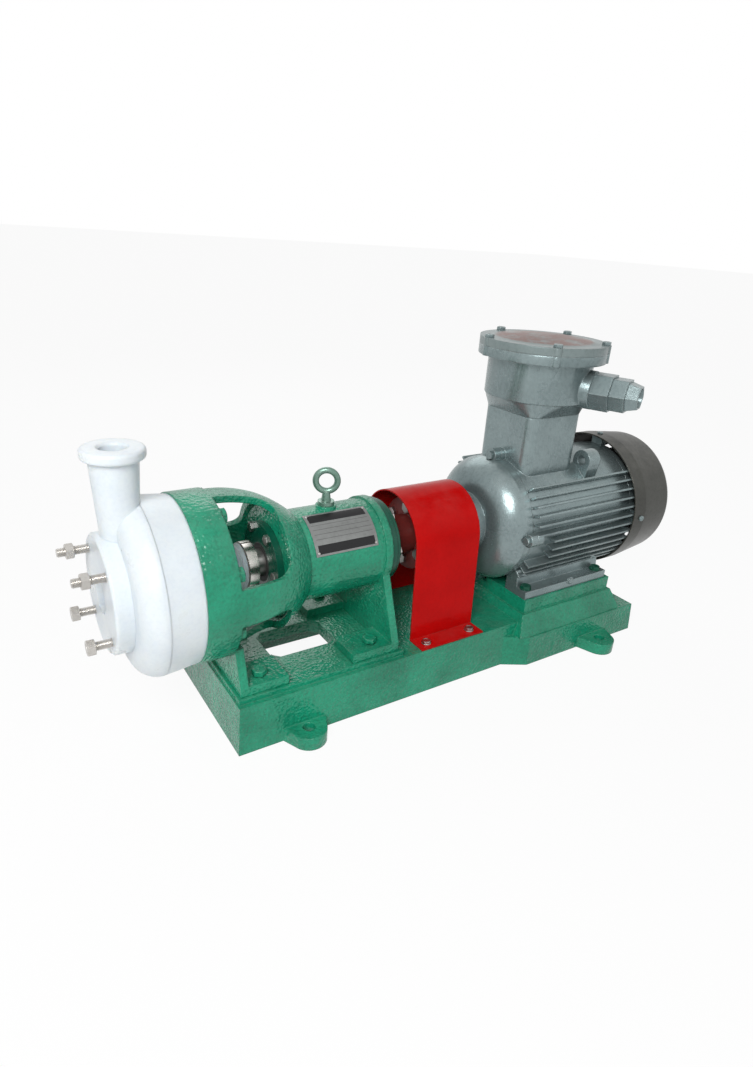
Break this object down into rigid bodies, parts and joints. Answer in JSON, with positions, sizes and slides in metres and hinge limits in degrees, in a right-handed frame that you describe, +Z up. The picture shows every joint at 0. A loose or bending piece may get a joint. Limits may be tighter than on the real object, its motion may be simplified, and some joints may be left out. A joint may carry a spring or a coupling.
{
  "type": "chemical process pump",
  "caption": "End-suction centrifugal pump with white fluoroplastic wet end, lantern bracket, guarded coupling and ribbed motor on a common base.",
  "frame": {"origin": "middle of the overall plan, on the floor under the shaft line", "axes": "+X along the shaft from the pump head to the fan cover, +Z up, +Y across to the far side"},
  "size_m": [1.016, 0.364, 0.524],
  "materials": {
    "fluoroplastic": "white fluoroplastic, slightly translucent, semi-gloss",
    "stainless": "turned stainless steel",
    "green_enamel": "glossy enamel over cast iron",
    "dark_green_enamel": "glossy enamel over cast iron",
    "grey_enamel": "silver-grey enamel",
    "cover_enamel": "grey enamel over pressed sheet",
    "lid_enamel": "grey enamel over red-brown primer",
    "red_enamel": "glossy red enamel over sheet",
    "coupling_red": "dark red primer",
    "steel": "machined steel",
    "bearing_steel": "ground and polished",
    "rubber": "moulded black rubber",
    "ceramic": "lapped white ceramic",
    "core_steel": "stacked sheet steel",
    "copper": "enamelled copper",
    "plate_metal": "anodised sheet",
    "brass": "turned brass",
    "board": "moulded thermoset",
    "fan_plastic": "moulded black plastic"
  },
  "bodies": {
    "base": {"base_plate": "green_enamel", "lantern_bracket": "green_enamel", "pump_casing": "fluoroplastic", "casing_cover": "fluoroplastic", "casing_bolts": "stainless", "suction_studs": "stainless", "suction_nuts": "stainless", "seal_gland": "stainless", "gland_bolts": "stainless", "seal_seat": "ceramic", "pump_bearing_outer_races": "bearing_steel", "front_bearing_cover": "dark_green_enamel", "rear_bearing_cover": "dark_green_enamel", "bearing_cover_bolts": "steel", "lip_seals": "rubber", "pump_foot_bolts": "steel", "eye_bolt": "steel", "nameplate": "plate_metal", "nameplate_rivets": "steel", "coupling_guard": "red_enamel", "guard_bolts": "steel", "motor_frame": "grey_enamel", "drive_end_shield": "grey_enamel", "fan_end_shield": "grey_enamel", "end_shield_bolts": "steel", "stator_core": "core_steel", "stator_windings": "copper", "motor_bearing_outer_races": "bearing_steel", "fan_cover": "cover_enamel", "fan_cover_screws": "steel", "motor_foot_bolts": "steel", "terminal_box": "grey_enamel", "terminal_box_lid": "lid_enamel", "lid_bolts": "steel", "terminal_board": "board", "terminal_posts": "brass", "cable_gland_body": "grey_enamel", "cable_gland_nut": "grey_enamel", "cable_gland_cap": "grey_enamel", "gland_seal": "rubber"},
    "pump_rotor": {"impeller": "fluoroplastic", "impeller_cap": "fluoroplastic", "pump_shaft": "steel", "shaft_sleeve": "stainless", "seal_bellows": "fluoroplastic", "seal_clamp": "stainless", "pump_bearing_inner_races": "bearing_steel", "pump_bearing_balls": "bearing_steel", "bearing_locknut": "steel", "pump_key": "steel", "pump_coupling_half": "coupling_red", "coupling_pins": "steel", "coupling_bushes": "rubber"},
    "motor_rotor": {"motor_shaft": "steel", "motor_key": "steel", "motor_coupling_half": "coupling_red", "rotor_core": "core_steel", "motor_bearing_inner_races": "bearing_steel", "motor_bearing_balls": "bearing_steel", "cooling_fan": "fan_plastic"}
  },
  "joints": [
    {"name": "motor_spin", "type": "hinge", "parent": "base", "child": "motor_rotor", "pos_m": [0.288, 0, 0.222], "axis": [1, 0, 0], "continuous": true},
    {"name": "pump_spin", "type": "hinge", "parent": "base", "child": "pump_rotor", "pos_m": [-0.162, 0, 0.222], "axis": [1, 0, 0], "continuous": true}
  ],
  "couplings": [
    {"joint": "pump_spin", "follows": "motor_spin", "ratio": 1}
  ]
}
